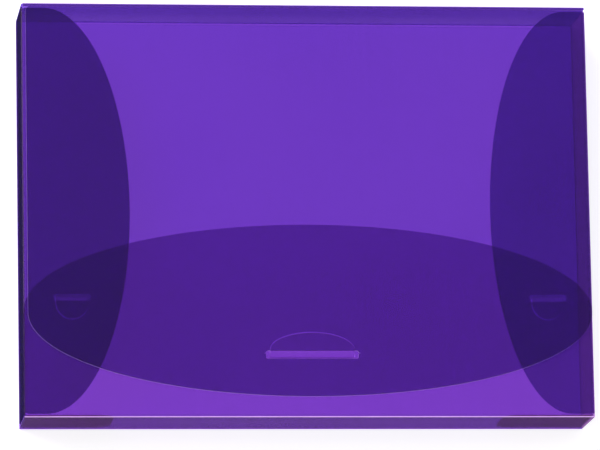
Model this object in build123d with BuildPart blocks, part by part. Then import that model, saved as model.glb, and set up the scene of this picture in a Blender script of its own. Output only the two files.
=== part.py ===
"""Translucent document box, die-cut and creased from one polypropylene sheet.

Millimetres. The box lies on its back: X runs across it, Y up to the lid's crease and Z out of the
front. The origin is the centre of the back panel's outer face.
"""

import os
from math import hypot

from build123d import *

os.makedirs("parts", exist_ok=True)

# The sheet and its pressed creases
sheet = 0.8
crease_radius = 0.8
crease_gap = 0.15
layer_gap = 0.2
relief = 1.5
corner_round = 1.2

# The box, over its outer faces
width = 330
height = 242
depth = 50

# Running room between a panel's end and the wall beside it
corner_room = 0.3
swing_room = 0.4
front_inset = 1.0
lid_inset = 1.4

# The folded front sits a little to the right of the back, as the sheet was creased
front_shift = 1.0

# The lid and the front flap, whose free edges are half ellipses
lid_straight = 180.8
lid_crown = 48.6
lid_corner_cut = 1.8
front_flap_straight = 61.2
front_flap_crown = 50.4

# The side flaps and the corner tabs
side_flap_straight = 12
side_flap_crown = 49
tab_length = 52
tab_corner = 9

# The tongues and the slots that they come up through
tongue_root_radius = 0.4
tongue_root_gap = 0.1
tongue_lead = 0.5
tongue_ramp = 2.2
tongue_bend = 0.6
tongue_straight = 4
tongue_cut = 0.3
root_inset = 0.5
slot_round = 1.2
slot_nick = 1.4
slot_nick_height = 0.9

lock_tongue_width = 49
lock_tongue_crown = 10.4
lock_slot_length = 53.4
lock_slot_height = 4.5
lock_slot_from_crease = 205.9

side_tongue_width = 19
side_tongue_crown = 10.2
side_slot_length = 21.2
side_slot_height = 4
side_slot_from_crease = 69.6
side_slot_from_side = 26.9

# Levels of the layers, from the lid down
lid_top = depth
front_flap_top = lid_top - 2 * (sheet + layer_gap)
side_flap_top = front_flap_top - sheet - layer_gap

# Crease lines, each as far inside the outer faces as its own radius
side_x = width / 2 - crease_radius
end_y = height / 2 - crease_radius
back_z = crease_radius
lid_z = lid_top - crease_radius
front_flap_z = front_flap_top - crease_radius
side_flap_z = side_flap_top - crease_radius
panel_start = crease_radius + crease_gap

# The corner tab lies against the inside of the bottom wall
tab_face_y = height / 2 - sheet - layer_gap
tab_crease_y = tab_face_y - crease_radius

lid_width = width - 2 * lid_inset
front_flap_width = width - 2 * front_inset
wall_length = width - 2 * front_inset
side_wall_top_y = height / 2 - sheet - corner_room
side_flap_width = 2 * (tab_face_y - sheet - swing_room)


def rounded_panel(across, along, cut=corner_round):
    """Plate from a crease at the local origin towards local +Y, its four corners rounded."""
    with BuildSketch(mode=Mode.PRIVATE) as outline:
        Rectangle(across, along, align=(Align.CENTER, Align.MIN))
        fillet(outline.vertices(), min(cut, across / 3, along / 3))
    add(outline.sketch)


def crowned_outline(across, straight, crown):
    """Outline from the local origin towards local +Y: straight sides, then half an ellipse."""
    with BuildLine() as edge:
        Polyline((-across / 2, straight), (-across / 2, 0), (across / 2, 0), (across / 2, straight))
        EllipticalCenterArc((0, straight), across / 2, crown, 0, arc_size=180)
    make_face(edge.edges())


def slot_outline(length, high):
    """Rounded slot about the local origin, with a pointed nick at each end."""
    RectangleRounded(length, high, min(slot_round, high / 3))
    reach = length / 2 + slot_nick
    with BuildLine() as nick:
        Polyline((-reach, 0), (0, -slot_nick_height / 2), (reach, 0), (0, slot_nick_height / 2), close=True)
    make_face(nick.edges())


def crease_line(start, end, radius=crease_radius):
    """Round living hinge from one point to another."""
    line = Vector(*end) - Vector(*start)
    with BuildSketch(Plane(origin=start, z_dir=line)) as section:
        Circle(radius)
    extrude(section.sketch, amount=line.length)


def tongue(root, across, crown, rise):
    """Tongue that climbs from its root line through a slot and then lies flat, rise above the root."""
    along = Plane(origin=root.origin, x_dir=root.y_dir, z_dir=root.x_dir)
    start = tongue_root_radius + tongue_root_gap
    ramp_start = start + tongue_lead
    with BuildSketch(along) as section:
        with BuildLine() as climb:
            FilletPolyline(
                (start, 0),
                (ramp_start, 0),
                (ramp_start + tongue_ramp, rise),
                (tongue_straight + crown, rise),
                radius=tongue_bend,
            )
        trace(climb.edges(), line_width=sheet)
    extrude(section.sketch, amount=across / 2, both=True)
    with BuildSketch(root.offset(-sheet)) as outline:
        crowned_outline(across, tongue_straight, crown)
    extrude(outline.sketch, amount=rise + 2 * sheet, mode=Mode.INTERSECT)


def tongue_hole(root, across, crown, rise):
    """Hole that the same tongue leaves in the sheet once it is bent up, with its root line's own room."""
    behind = tongue_root_radius + tongue_root_gap
    longer = hypot(tongue_ramp, rise) - tongue_ramp
    below = root.offset(-sheet)
    below.origin -= behind * root.y_dir
    with BuildSketch(below) as hole:
        crowned_outline(across + 2 * tongue_cut, behind + tongue_straight + longer, crown + tongue_cut)
    extrude(hole.sketch, amount=2 * sheet, mode=Mode.SUBTRACT)


def finish(piece, label):
    """Label a finished piece and write it to its own file."""
    piece.part.label = label
    export_step(piece.part, f"parts/{label}.step")


# Back panel: the flat floor of the box, which lies on the table
with BuildPart() as back_panel:
    with BuildSketch() as floor:
        Rectangle(2 * (side_x - panel_start), 2 * (end_y - panel_start))
        fillet(floor.vertices(), corner_round)
    extrude(amount=sheet)
finish(back_panel, "back_panel")

# Bottom wall: folded up from the back panel's lower edge
bottom_wall_rise = front_flap_z - back_z - 2 * panel_start
bottom_wall_foot = (0, -height / 2 + sheet, back_z + panel_start)
with BuildPart() as bottom_wall:
    with BuildSketch(Plane(bottom_wall_foot, x_dir=(1, 0, 0), z_dir=(0, -1, 0))):
        rounded_panel(wall_length, bottom_wall_rise)
    extrude(amount=sheet)
finish(bottom_wall, "bottom_wall")

# Top wall: folded up from the back panel's upper edge, and carries the lid
top_wall_rise = lid_z - back_z - 2 * panel_start
top_wall_foot = (0, height / 2, back_z + panel_start)
with BuildPart() as top_wall:
    with BuildSketch(Plane(top_wall_foot, x_dir=(1, 0, 0), z_dir=(0, -1, 0))):
        rounded_panel(wall_length, top_wall_rise)
    extrude(amount=sheet)
finish(top_wall, "top_wall")

# Creases along the back panel's lower and upper edges, and at the front of both walls
crease_half = wall_length / 2 - relief
for label, line_y, line_z in (
    ("bottom_back_crease", -end_y, back_z),
    ("top_back_crease", end_y, back_z),
    ("front_flap_crease", -end_y, front_flap_z),
    ("lid_crease", end_y, lid_z),
):
    with BuildPart() as crease:
        crease_line((-crease_half, line_y, line_z), (crease_half, line_y, line_z))
    finish(crease, label)

# Front flap: folded over from the bottom wall. It has a slot for each side tongue, and the hole
# that the lock tongue is cut from
front_flap_start = -end_y + panel_start
lock_slot_y = height / 2 - lock_slot_from_crease
lock_root_y = lock_slot_y - lock_slot_height / 2 + root_inset
lock_rise = lid_top - front_flap_top + sheet + layer_gap
lock_root = Plane((front_shift, lock_root_y, front_flap_top - sheet / 2))
side_slot_x = width / 2 - side_slot_from_side
side_slot_y = side_slot_from_crease - height / 2
with BuildPart() as front_flap:
    with BuildSketch(Plane((front_shift, front_flap_start, front_flap_top - sheet))):
        crowned_outline(front_flap_width, front_flap_straight - panel_start, front_flap_crown)
    extrude(amount=sheet)
    with BuildSketch(Plane((front_shift, side_slot_y, front_flap_top - sheet))):
        with Locations((-side_slot_x, 0), (side_slot_x, 0)):
            with BuildSketch(mode=Mode.PRIVATE) as side_slot:
                slot_outline(side_slot_length, side_slot_height)
            add(side_slot.sketch)
    extrude(amount=sheet, mode=Mode.SUBTRACT)
    tongue_hole(lock_root, lock_tongue_width, lock_tongue_crown, lock_rise)
finish(front_flap, "front_flap")

# Lock tongue: bent up from the front flap, through the lid's slot, to lie on the lid
with BuildPart() as lock_tongue:
    tongue(lock_root, lock_tongue_width, lock_tongue_crown, lock_rise)
finish(lock_tongue, "lock_tongue")

with BuildPart() as lock_tongue_crease:
    crease_line(
        (front_shift - lock_tongue_width / 2 + relief, lock_root_y, lock_root.origin.Z),
        (front_shift + lock_tongue_width / 2 - relief, lock_root_y, lock_root.origin.Z),
        tongue_root_radius,
    )
finish(lock_tongue_crease, "lock_tongue_crease")

# Lid: folded over from the top wall, over all the other layers. Its slot takes the lock tongue
with BuildPart() as lid:
    with BuildSketch(Plane((front_shift, end_y - panel_start, lid_top - sheet), x_dir=(-1, 0, 0))) as outline:
        crowned_outline(lid_width, lid_straight - panel_start, lid_crown)
        chamfer(outline.vertices().group_by(Axis.Y)[0], lid_corner_cut)
    extrude(amount=sheet)
    with BuildSketch(Plane((front_shift, lock_slot_y, lid_top - sheet))):
        slot_outline(lock_slot_length, lock_slot_height)
    extrude(amount=sheet, mode=Mode.SUBTRACT)
finish(lid, "lid")

# The two sides are alike: a wall, a flap with its tongue, a corner tab and their creases
side_wall_low_y = -tab_crease_y + panel_start
side_wall_rise = side_flap_z - back_z - 2 * panel_start
side_crease_half = side_flap_width / 2 - relief
side_root_y = side_slot_y + side_slot_height / 2 - root_inset
side_rise = front_flap_top - side_flap_top + sheet + layer_gap
for side, sign in (("left", -1), ("right", 1)):
    # Side wall: folded up from the back panel, with the tab at its lower end
    with BuildPart() as side_wall:
        with BuildSketch(
            Plane(
                (sign * width / 2, (side_wall_low_y + side_wall_top_y) / 2, back_z + panel_start),
                x_dir=(0, sign, 0),
                z_dir=(sign, 0, 0),
            )
        ):
            rounded_panel(side_wall_top_y - side_wall_low_y, side_wall_rise)
        extrude(amount=-sheet)
    finish(side_wall, f"{side}_wall")

    # Side flap: folded over from the side wall, under the front flap
    side_root_x = front_shift + sign * side_slot_x
    side_root = Plane((side_root_x, side_root_y, side_flap_top - sheet / 2), x_dir=(-1, 0, 0))
    with BuildPart() as side_flap:
        with BuildSketch(
            Plane((sign * (side_x - panel_start), 0, side_flap_top - sheet), x_dir=(0, sign, 0))
        ):
            crowned_outline(side_flap_width, side_flap_straight - panel_start, side_flap_crown)
        extrude(amount=sheet)
        tongue_hole(side_root, side_tongue_width, side_tongue_crown, side_rise)
    finish(side_flap, f"{side}_flap")

    # Side tongue: bent up from the side flap, through the front flap's slot, to lie under the lid
    with BuildPart() as side_tongue:
        tongue(side_root, side_tongue_width, side_tongue_crown, side_rise)
    finish(side_tongue, f"{side}_tongue")

    with BuildPart() as side_tongue_crease:
        half = side_tongue_width / 2 - relief
        crease_line(
            (side_root_x - half, side_root_y, side_root.origin.Z),
            (side_root_x + half, side_root_y, side_root.origin.Z),
            tongue_root_radius,
        )
    finish(side_tongue_crease, f"{side}_tongue_crease")

    # Corner tab: folded in from the side wall's lower end, behind the bottom wall
    tab_low = back_z + panel_start
    tab_rise = side_flap_z - crease_radius - swing_room - tab_low
    with BuildPart() as tab:
        with BuildSketch(
            Plane(
                (sign * (side_x - panel_start), -tab_face_y + sheet, tab_low + tab_rise / 2),
                x_dir=(0, 0, -sign),
                z_dir=(0, 1, 0),
            )
        ) as tab_outline:
            Rectangle(
                tab_rise,
                tab_length - crease_radius - panel_start,
                align=(Align.CENTER, Align.MIN),
            )
            fillet(tab_outline.vertices().group_by(Axis.Y)[-1], tab_corner)
        extrude(amount=-sheet)
    finish(tab, f"{side}_tab")

    # Creases of the side: at the back panel, at the flap and at the tab
    for label, start, end in (
        (
            f"{side}_back_crease",
            (sign * side_x, -side_crease_half, back_z),
            (sign * side_x, side_crease_half, back_z),
        ),
        (
            f"{side}_flap_crease",
            (sign * side_x, -side_crease_half, side_flap_z),
            (sign * side_x, side_crease_half, side_flap_z),
        ),
        (
            f"{side}_tab_crease",
            (sign * side_x, -tab_crease_y, tab_low + relief),
            (sign * side_x, -tab_crease_y, tab_low + tab_rise - relief),
        ),
    ):
        with BuildPart() as crease:
            crease_line(start, end)
        finish(crease, label)
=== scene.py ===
import math

import bmesh
import bpy
from mathutils import Matrix, Vector


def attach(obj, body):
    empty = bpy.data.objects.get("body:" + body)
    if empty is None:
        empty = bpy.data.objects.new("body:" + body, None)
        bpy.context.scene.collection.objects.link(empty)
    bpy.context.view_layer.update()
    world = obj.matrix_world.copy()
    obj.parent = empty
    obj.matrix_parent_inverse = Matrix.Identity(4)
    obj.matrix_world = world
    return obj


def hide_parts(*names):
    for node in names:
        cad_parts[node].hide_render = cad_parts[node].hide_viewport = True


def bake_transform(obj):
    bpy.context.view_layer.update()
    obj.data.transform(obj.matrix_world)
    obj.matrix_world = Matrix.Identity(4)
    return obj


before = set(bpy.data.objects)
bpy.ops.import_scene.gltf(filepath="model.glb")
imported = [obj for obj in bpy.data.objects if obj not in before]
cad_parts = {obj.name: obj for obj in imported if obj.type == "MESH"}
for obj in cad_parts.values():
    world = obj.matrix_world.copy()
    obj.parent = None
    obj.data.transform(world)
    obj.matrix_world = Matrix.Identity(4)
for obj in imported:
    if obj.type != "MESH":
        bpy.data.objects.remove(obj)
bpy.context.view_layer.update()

# Back panel: the flat floor of the box, cut from the one sheet of translucent purple polypropylene
# that makes the whole of it. The sheet is extruded, so it has a satin face, faint lines along its
# run, a little cloudiness and fine grain, and the odd scuff.
# The sheet is one colour, but each panel's tint, here and below, is set to how light that panel looks,
# the back panel clearest: the differences between panels are painted light and shade.
back_through = (0.39, 0.16, 0.81)
sheet_scatter = (0.28, 0.17, 0.42)
# Pale lilac laid on the cut edges: a painted highlight.
cut_edge_highlight = (0.74, 0.60, 0.92)
plastic_ior = 1.49


class Shade:
    """A value in a material's node tree: arithmetic on it adds Math nodes to that tree."""

    def __init__(self, tree, socket=None):
        self.tree = tree
        self.socket = socket

    def node(self, kind, settings=(), sockets=(), output=0):
        """Add a node: its settings first, then the values or links of its sockets."""
        made = self.tree.nodes.new(kind)
        for name, value in dict(settings).items():
            setattr(made, name, value)
        for key, value in dict(sockets).items():
            if isinstance(value, Shade):
                self.tree.links.new(value.socket, made.inputs[key])
            else:
                made.inputs[key].default_value = value
        return Shade(self.tree, made.outputs[output] if made.outputs else None)

    def math(self, operation, *values):
        return self.node("ShaderNodeMath", {"operation": operation}, enumerate(values))

    def __add__(self, other):
        return self.math("ADD", self, other)

    def __sub__(self, other):
        return self.math("SUBTRACT", self, other)

    def __rsub__(self, other):
        return self.math("SUBTRACT", other, self)

    def __mul__(self, other):
        return self.math("MULTIPLY", self, other)

    def __abs__(self):
        return self.math("ABSOLUTE", self)

    __radd__ = __add__
    __rmul__ = __mul__

    def or_more(self, other):
        """The larger of two values."""
        return self.math("MAXIMUM", self, other)

    def rising(self, low, high):
        """0 below low, 1 above high and smooth between them."""
        settings = {"interpolation_type": "SMOOTHSTEP"}
        return self.node("ShaderNodeMapRange", settings, {0: self, 1: low, 2: high})

    def axis(self, name):
        """One of a vector's three parts."""
        return self.node("ShaderNodeSeparateXYZ", (), {0: self}, name)


def new_material(name):
    material = bpy.data.materials.new(name)
    material.use_nodes = True
    material.node_tree.nodes.clear()
    return material, Shade(material.node_tree)


def purple_sheet(
    name, through, flat="Z", run="X", haze=0.03, edge=0.0, edge_on=1.6, shine=0.05, front_shade=0.0
):
    """The sheet's material. through is what one thickness lets pass, flat the panel's normal, run the
    way across the extrusion lines, edge how much painted highlight makes its cut edges pale, edge_on how
    deep the colour gets when the panel is seen on edge, shine how much the face adds there, and
    front_shade how much painted shade deepens the colour towards the front of the box."""
    material, tree = new_material(name)
    place = tree.node("ShaderNodeTexCoord", output="Object")
    normal = tree.node("ShaderNodeTexCoord", output="Normal")
    cut_edge = (1 - abs(normal.axis(flat))).rising(0.4, 0.9)

    along_run = {"W": place.axis(run), "Scale": 420.0, "Detail": 1.0}
    lines = tree.node("ShaderNodeTexNoise", {"noise_dimensions": "1D"}, along_run)
    clouds = tree.node("ShaderNodeTexNoise", (), {"Vector": place, "Scale": 13.0, "Detail": 0.0})
    grain = tree.node("ShaderNodeTexNoise", (), {"Vector": place, "Scale": 1500.0, "Detail": 0.0})
    drawn = tree.node("ShaderNodeVectorMath", {"operation": "MULTIPLY"}, {0: place, 1: (70, 800, 800)})
    scratches = tree.node("ShaderNodeTexNoise", (), {"Vector": drawn, "Scale": 1.0, "Detail": 1.0})
    scuff = scratches.rising(0.70, 0.80)

    slanting = tree.node("ShaderNodeLayerWeight", (), {"Blend": 0.5}, "Facing").rising(0.60, 0.98)
    bump = tree.node("ShaderNodeBump", (), {"Height": grain, "Strength": 0.10, "Distance": 0.0003})
    # Cut edges take the pale colour and a larger share of the face: a painted highlight along them.
    face_and_edge = {0: cut_edge, 6: (*sheet_scatter, 1), 7: (*cut_edge_highlight, 1)}
    colour = tree.node("ShaderNodeMix", {"data_type": "RGBA"}, face_and_edge, 2)
    roughness = 0.26 + 0.12 * clouds + 0.08 * lines + 0.15 * scuff
    gloss = {"Base Color": colour, "Roughness": roughness, "IOR": plastic_ior, "Normal": bump}
    face = tree.node("ShaderNodeBsdfPrincipled", (), gloss)

    # Each thickness is crossed at two faces, so a face lets the root of it pass.
    passes = [min(1.0, channel**0.5 / (1 - haze)) for channel in through]
    clear = tree.node("ShaderNodeBsdfTransparent", (), {0: (*passes, 1)})
    deep = tree.node("ShaderNodeBsdfTransparent", (), {0: (*[c**edge_on for c in passes], 1)})
    density = 0.10 * lines + 0.12 * clouds + slanting - 0.10
    # Painted shade: the colour deepens towards the front of the box.
    if front_shade:
        density = density + front_shade * place.axis("Z").rising(0.0, 0.05)
    body = tree.node("ShaderNodeMixShader", (), {0: density, 1: clear, 2: deep})
    share = haze + 0.02 * scuff + shine * slanting + edge * cut_edge
    result = tree.node("ShaderNodeMixShader", (), {0: share, 1: body, 2: face})
    tree.node("ShaderNodeOutputMaterial", (), {0: result})
    return material


def dress(node, material):
    """Give a solid of the frame its material."""
    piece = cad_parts[node]
    piece.data.materials.clear()
    piece.data.materials.append(material)


dress("back_panel", purple_sheet("back panel sheet", back_through))

# Bottom and top walls: two long strips of the same sheet, folded up square from the back panel's
# lower and upper edges. Each is a flat plate with softly rounded cut edges, and runs the whole way
# across the box to close its corners.
mm = 0.001
thick = 0.8 * mm
cut_rounding = 0.1 * mm
wall_reach = 164.9
wall_foot = 1.75
wall_corner = 0.8
end_wall_y = 120.6


def plate(name, outline, origin, across, along, holes=()):
    """Flat plate of the sheet: its outline and holes in millimetres, about origin in its middle plane."""
    curve = bpy.data.curves.new(name, "CURVE")
    curve.dimensions = "2D"
    curve.fill_mode = "BOTH"
    curve.bevel_depth = cut_rounding
    curve.bevel_resolution = 1
    curve.offset = -cut_rounding
    curve.extrude = thick / 2 - curve.bevel_depth
    for points in (outline, *holes):
        edge = curve.splines.new("POLY")
        edge.points.add(len(points) - 1)
        for point, (x, y) in zip(edge.points, points):
            point.co = (x * mm, y * mm, 0, 1)
        edge.use_cyclic_u = True
    drawn = bpy.data.objects.new(name, curve)
    bpy.context.scene.collection.objects.link(drawn)
    bpy.context.view_layer.update()
    mesh = bpy.data.meshes.new_from_object(drawn.evaluated_get(bpy.context.evaluated_depsgraph_get()))
    bpy.data.objects.remove(drawn)
    across, along = Vector(across), Vector(along)
    turn = Matrix((across, along, across.cross(along))).transposed().to_4x4()
    mesh.transform(Matrix.Translation([value * mm for value in origin]) @ turn)
    piece = bpy.data.objects.new(name, mesh)
    bpy.context.scene.collection.objects.link(piece)
    return piece


def rounded(low_x, low_y, high_x, high_y, corner):
    """Outline of a rectangle with rounded corners."""
    points = []
    centres = ((high_x, high_y, 0), (low_x, high_y, 90), (low_x, low_y, 180), (high_x, low_y, 270))
    for x, y, first in centres:
        x += corner if x == low_x else -corner
        y += corner if y == low_y else -corner
        for step in range(5):
            turn = math.radians(first + step * 22.5)
            points.append((x + corner * math.cos(turn), y + corner * math.sin(turn)))
    return points


def fit(piece, material, body, node):
    """Give a new piece its material, its body and the solid that it stands for."""
    piece.data.materials.clear()
    piece.data.materials.append(material)
    if body:
        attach(piece, body)
    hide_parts(node)


# Wall tints, set to how light each wall looks: painted light and shade.
bottom_wall_sheet = purple_sheet("bottom wall sheet", (0.26, 0.13, 0.32), "Y", haze=0.05, edge_on=1.3)
# The top wall gets painted shade, deeper towards the front of the box, next to the lid's crease.
top_wall_sheet = purple_sheet("top wall sheet", (0.27, 0.155, 0.57), "Y", edge_on=1.5, front_shade=0.9)
for node, body, y, wall_top, material in (
    ("bottom_wall", "root", -end_wall_y, 46.25, bottom_wall_sheet),
    ("top_wall", "top_wall", end_wall_y, 48.25, top_wall_sheet),
):
    outline = rounded(-wall_reach, wall_foot, wall_reach, wall_top, wall_corner)
    fit(plate(f"{node}_sheet", outline, (0, y, 0), (1, 0, 0), (0, 0, 1)), material, body, node)

# Side walls: the strips at the two sides. They carry the side flaps at the front, and at their
# lower ends the round-cornered corner tabs, which tuck in behind the bottom wall.
# Tab and side wall tints, set to how light each piece looks: painted light and shade.
tab_sheet = purple_sheet("corner tab sheet", (0.62, 0.16, 0.50), "Y", edge=0.10)
for side, through, edge_on in (("left", (0.36, 0.19, 0.50), 4.6), ("right", (0.36, 0.17, 0.58), 1.15)):
    wall_sheet = purple_sheet(
        f"{side} wall sheet", through, "X", run="Y", haze=0.02, edge_on=edge_on, shine=0.01
    )
    dress(f"{side}_wall", wall_sheet)
    dress(f"{side}_tab", tab_sheet)

# Side flaps and their tongues: crowned flaps folded in over the papers. Each has a tongue cut out of
# it, which is bent up and locked through the front flap. The right flap is a little shorter.
# Side flap tints, set to how light each flap looks: painted light and shade.
side_flap_through = {"left": (0.24, 0.14, 0.37), "right": (0.29, 0.20, 0.46)}
side_flap_half = 118.8
side_flap_middle = 46.6
front_shift = 1.0
side_tongue_x, side_tongue_y = 138.1, -49.9
side_hole_half, side_hole_crown = 9.6, 10.3


def crowned(inner, outer, half, crown):
    """Outline of a panel from its crease at inner: straight to outer, then half an ellipse."""
    sign = 1 if outer > inner else -1
    points = [(inner, -half)]
    for step in range(97):
        turn = math.radians(step * 180 / 96 - 90)
        points.append((outer + sign * crown * math.cos(turn), half * math.sin(turn)))
    return [*points, (inner, half)]


def tongue_hole(x, start, straight_end, half, crown, sign, steps):
    """Outline of the hole that a tongue leaves: straight from start, then half an ellipse."""
    points = [(x + sign * half, start)]
    for step in range(steps + 1):
        turn = math.radians(step * 180 / steps)
        points.append((x + sign * half * math.cos(turn), straight_end + sign * crown * math.sin(turn)))
    return [*points, (x - sign * half, start)]


for side, sign, crown in (("left", -1, 49.0), ("right", 1, 45.5)):
    hole = tongue_hole(
        sign * side_tongue_x + front_shift,
        side_tongue_y - 0.7,
        side_tongue_y - 4,
        side_hole_half,
        side_hole_crown,
        sign=-1,
        steps=40,
    )
    outline = crowned(sign * 163.25, sign * 152.2, side_flap_half, crown)
    flap = plate(f"{side}_flap_sheet", outline, (0, 0, side_flap_middle), (1, 0, 0), (0, 1, 0), [hole])
    side_sheet = purple_sheet(f"{side} flap sheet", side_flap_through[side], run="Y", edge=0.08)
    fit(flap, side_sheet, f"{side}_flap", f"{side}_flap")
    dress(f"{side}_tongue", side_sheet)

# Front flap, lid and lock tongue: the two crowned panels that close over each other. Their free
# edges make the dark lens in the middle of the front, and the tongue, cut out of the front flap and
# pushed up through the lid's slot, holds them together.
# Front flap and lid tints, set to how light each looks: painted light and shade.
front_flap_through = (0.43, 0.245, 0.54)
lid_through = (0.33, 0.21, 0.48)
front_flap_middle, lid_middle = 47.6, 49.6
front_start = 119.25
lid_half, lid_corner_half, lid_corner_cut = 163.6, 161.8, 1.75


def slot(x, y, length, high, nick_y):
    """Rounded slot about a point, with a pointed nick at each end, nick_y above its middle."""
    half, tall, corner = length / 2, high / 2, 1.2
    right_end = [
        (half, nick_y - 0.4),
        (half + 1.4, nick_y),
        (half, nick_y + 0.4),
        (half - 0.1 * corner, tall - 0.3 * corner),
        (half - 0.5 * corner, tall),
    ]
    left_end = [(-u, v) for u, v in reversed(right_end)]
    below_left = [(-half, 0.3 * corner - tall), (0.5 * corner - half, -tall)]
    below_right = [(half - 0.5 * corner, -tall), (half, 0.3 * corner - tall)]
    return [(x + u, y + v) for u, v in (*right_end, *left_end, *below_left, *below_right)]


flap_outline = [(v, u) for u, v in crowned(-front_start, -59.0, wall_reach, 50.4)]
lock_hole = tongue_hole(front_shift + 0.25, -86.0, -81.75, 24.65, 10.6, sign=1, steps=60)
side_slots = [slot(sign * side_tongue_x + front_shift, -51.4, 21.2, 4, 0.4) for sign in (-1, 1)]
flap_holes = [lock_hole, *side_slots]
front_flap = plate(
    "front_flap_sheet", flap_outline, (0, 0, front_flap_middle), (1, 0, 0), (0, 1, 0), flap_holes
)
fit(front_flap, purple_sheet("front flap sheet", front_flap_through, edge=0.04), "root", "front_flap")
dress("lock_tongue", purple_sheet("lock tongue sheet", front_flap_through, edge=0.20))

lid_outline = [(front_shift + v, u) for u, v in crowned(front_start, -60.6, lid_half, 48.6)][1:-1]
lid_side_end = front_start - lid_corner_cut
lid_outline = [
    (front_shift - lid_half, lid_side_end),
    *lid_outline,
    (front_shift + lid_half, lid_side_end),
    (front_shift + lid_corner_half, front_start),
    (front_shift - lid_corner_half, front_start),
]
lid_slot = slot(front_shift, -84.9, 53.4, 4.5, 0.9)
lid = plate("lid_sheet", lid_outline, (0, 0, lid_middle), (1, 0, 0), (0, 1, 0), [lid_slot])
# The lid's cut edges get the strongest painted highlight, the bright line along its free edge.
fit(lid, purple_sheet("lid sheet", lid_through, edge=0.95), "lid", "lid")

# Creases: the living hinges, where the sheet is pressed and turned through a right angle. The
# plastic is stretched smooth there, and a fine pale line along the outer bend is painted on as a
# highlight.
crease_highlight = (0.80, 0.48, 1.0)
crease_leg = 0.95 * mm
side_line, end_line, back_line = 164.2, 120.2, 0.8
front_fold_line, lid_line, side_flap_line = 47.2, 49.2, 46.2
side_wall_reach, lid_fold_reach, flap_fold_reach = 119.2, 164.0, 118.4


def pressed_crease(name, through, line):
    """The crease's material: as clear as the sheet, with a painted highlight, a pale line along the outer
    bend.
    """
    material, tree = new_material(name)
    place = tree.node("ShaderNodeTexCoord", output="Object")
    normal = tree.node("ShaderNodeTexCoord", output="Normal")
    squareness = abs(normal.axis("X")).or_more(abs(normal.axis("Y"))).or_more(abs(normal.axis("Z")))
    bent = (1 - squareness).rising(0.01, 0.12)
    grain = tree.node("ShaderNodeTexNoise", (), {"Vector": place, "Scale": 900.0, "Detail": 0.0})
    patches = tree.node("ShaderNodeTexNoise", (), {"Vector": place, "Scale": 40.0, "Detail": 1.0})
    bump = tree.node("ShaderNodeBump", (), {"Height": grain, "Strength": 0.12, "Distance": 0.0002})
    colour, roughness = (*crease_highlight, 1), 0.16 + 0.12 * patches
    gloss = {"Base Color": colour, "Roughness": roughness, "IOR": plastic_ior, "Normal": bump}
    face = tree.node("ShaderNodeBsdfPrincipled", (), gloss)
    clear = tree.node("ShaderNodeBsdfTransparent", (), {0: (*[c**0.5 for c in through], 1)})
    # line sets how much painted highlight the bend gets.
    share = 0.02 + line * bent * (0.8 + 0.4 * patches)
    result = tree.node("ShaderNodeMixShader", (), {0: share, 1: clear, 2: face})
    tree.node("ShaderNodeOutputMaterial", (), {0: result})
    return material


def bend(name, start, end, first, second):
    """Quarter bend of the sheet from start to end, with a leg along first and one along second."""
    ring = [first * crease_leg, first * crease_leg - second * thick]
    for step in range(9):
        turn = math.radians(step * 90 / 8)
        ring.append(-second * thick * math.cos(turn) - first * thick * math.sin(turn))
    ring += [second * crease_leg - first * thick, second * crease_leg, Vector((0, 0, 0))]
    count = len(ring)
    mesh = bpy.data.meshes.new(name)
    sides = [(i, (i + 1) % count, count + (i + 1) % count, count + i) for i in range(count)]
    ends = [tuple(range(count))[::-1], tuple(range(count, 2 * count))]
    mesh.from_pydata([point + at for at in (start, end) for point in ring], [], sides + ends)
    piece = bpy.data.objects.new(name, mesh)
    bpy.context.scene.collection.objects.link(piece)
    shape = bmesh.new()
    shape.from_mesh(mesh)
    bmesh.ops.recalc_face_normals(shape, faces=shape.faces)
    shape.to_mesh(mesh)
    shape.free()
    return piece


left, right, up, down = (-1, 0, 0), (1, 0, 0), (0, 1, 0), (0, -1, 0)
front, back = (0, 0, 1), (0, 0, -1)
# The front fold gets by far the strongest painted highlight.
back_fold = pressed_crease("back crease", (0.42, 0.18, 0.82), 0.02)
front_fold = pressed_crease("front fold", front_flap_through, 0.90)
lid_fold = pressed_crease("lid fold", lid_through, 0.05)
left_fold = pressed_crease("left flap fold", side_flap_through["left"], 0.10)
right_fold = pressed_crease("right flap fold", side_flap_through["right"], 0.05)
for node, x, y, z, reach, first, second, material, bodies in (
    (
        "bottom_back_crease", 0, -end_line, back_line, wall_reach,
        up, front, back_fold, ("root",),
    ),
    (
        "top_back_crease", 0, end_line, back_line, wall_reach,
        down, front, back_fold, ("root", "top_wall"),
    ),
    (
        "left_back_crease", -side_line, 0, back_line, side_wall_reach,
        right, front, back_fold, ("root",),
    ),
    (
        "right_back_crease", side_line, 0, back_line, side_wall_reach,
        left, front, back_fold, ("root",),
    ),
    (
        "front_flap_crease", 0, -end_line, front_fold_line, wall_reach,
        back, up, front_fold, ("root",),
    ),
    (
        "lid_crease", 0, end_line, lid_line, lid_fold_reach,
        back, down, lid_fold, ("top_wall", "lid"),
    ),
    (
        "left_flap_crease", -side_line, 0, side_flap_line, flap_fold_reach,
        back, right, left_fold, ("root", "left_flap"),
    ),
    (
        "right_flap_crease", side_line, 0, side_flap_line, flap_fold_reach,
        back, left, right_fold, ("root", "right_flap"),
    ),
):
    middle, first, second = Vector((x, y, z)) * mm, Vector(first), Vector(second)
    end_to_end = Vector((0, reach, 0) if x else (reach, 0, 0)) * mm
    strip = bend(f"{node}_strip", middle - end_to_end, middle + end_to_end, first, second)
    fit(strip, material, bodies[0] if len(bodies) == 1 else None, node)
    if len(bodies) == 2:
        legs = [middle + way * crease_leg for way in (first, second)]
        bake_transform(strip)

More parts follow.
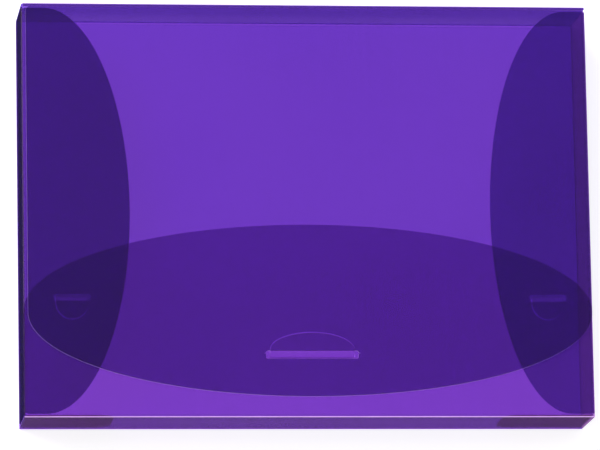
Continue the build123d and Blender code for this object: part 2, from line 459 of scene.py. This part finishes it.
# Small creases: the tabs' own, down the two lower corners, and the tongues' roots, where the sheet
# is pressed across each tongue so that it can be bent up.
tab_fold = pressed_crease("tab crease", front_flap_through, 0.03)
tongue_root = pressed_crease("tongue root", (0.86, 0.80, 0.92), 0.01)
for node in ("left_tab_crease", "right_tab_crease"):
    dress(node, tab_fold)
for node in ("lock_tongue_crease", "left_tongue_crease", "right_tongue_crease"):
    dress(node, tongue_root)

# The floor that the box lies on: plain white board, well below the lamps, with the soft purple
# shadow that the sheet leaves on it. Where it is seen through the sheet it glows brighter than where it
# is seen bare: a painted backlight under the box.
floor_reach = 6.0
floor_z = -0.4 * mm
board_white = (0.82, 0.82, 0.82)
seen_bare, painted_backlight = 0.58, 1.0


def seen_directly(tree):
    """1 for what the camera, a reflection or a transmitted ray shows, and 0 for lighting."""
    ways = ("Is Camera Ray", "Is Glossy Ray", "Is Transmission Ray")
    camera, glossy, through = (tree.node("ShaderNodeLightPath", output=way) for way in ways)
    return camera.or_more(glossy).or_more(through)


floor_mesh = bpy.data.meshes.new("floor")
corners = [(x * floor_reach, y * floor_reach, floor_z) for x, y in ((-1, -1), (1, -1), (1, 1), (-1, 1))]
floor_mesh.from_pydata(corners, [], [(0, 1, 2, 3)])
floor = bpy.data.objects.new("floor", floor_mesh)
bpy.context.scene.collection.objects.link(floor)
board, tree = new_material("white board")
# Painted light: the board glows at full strength where it is seen through the sheet.
behind = tree.node("ShaderNodeLightPath", output="Transparent Depth").rising(0.0, 1.0)
glow = seen_directly(tree) * (seen_bare + (painted_backlight - seen_bare) * behind)
surface = tree.node(
    "ShaderNodeBsdfPrincipled",
    (),
    {
        "Base Color": (*board_white, 1),
        "Roughness": 0.9,
        "Specular IOR Level": 0.1,
        "Emission Color": (1, 1, 1, 1),
        "Emission Strength": glow,
    },
)
tree.node("ShaderNodeOutputMaterial", (), {0: surface})
floor_mesh.materials.append(board)

# Soft studio light: a pale room, a wide lamp over the upper left and a lower one in front.
# Neither is strong, so that the plastic keeps its own colour.
room_light = 0.5
world = bpy.data.worlds.new("pale room")
world.use_nodes = True
world.node_tree.nodes.clear()
tree = Shade(world.node_tree)
strength = room_light + (1 - room_light) * seen_directly(tree)
sky = tree.node("ShaderNodeBackground", (), {0: (1, 1, 1, 1), 1: strength})
tree.node("ShaderNodeOutputWorld", (), {0: sky})
bpy.context.scene.world = world


def soft_lamp(name, place, size, power):
    """Square lamp at place, turned towards the middle of the box's back."""
    lamp = bpy.data.lights.new(name, "AREA")
    lamp.shape = "SQUARE"
    lamp.size = size
    lamp.energy = power
    holder = bpy.data.objects.new(name, lamp)
    holder.location = place
    x, y, z = place
    holder.rotation_euler = (math.atan2(math.hypot(x, y), z), 0, math.atan2(x, -y))
    bpy.context.scene.collection.objects.link(holder)


soft_lamp("key lamp", (-1.3, 1.0, 2.2), 1.6, 45)
soft_lamp("low lamp", (0.3, -2.0, 0.9), 1.0, 14)

# The camera: nearly straight above the front, a little towards the lower left of it, from far
# enough away for the sides to look almost parallel.
camera_data = bpy.data.cameras.new("camera")
camera_data.sensor_fit = "HORIZONTAL"
camera_data.sensor_width = 36
camera_data.lens = 343.2
camera_data.clip_end = 50
camera = bpy.data.objects.new("camera", camera_data)
camera.location = (-0.38241, -0.60783, 3.27597)
camera.rotation_euler = [math.radians(turn) for turn in (10.558, -6.490, -0.998)]
bpy.context.scene.collection.objects.link(camera)
scene = bpy.context.scene
scene.camera = camera
scene.view_settings.view_transform = "Standard"
scene.cycles.transparent_max_bounces = 64
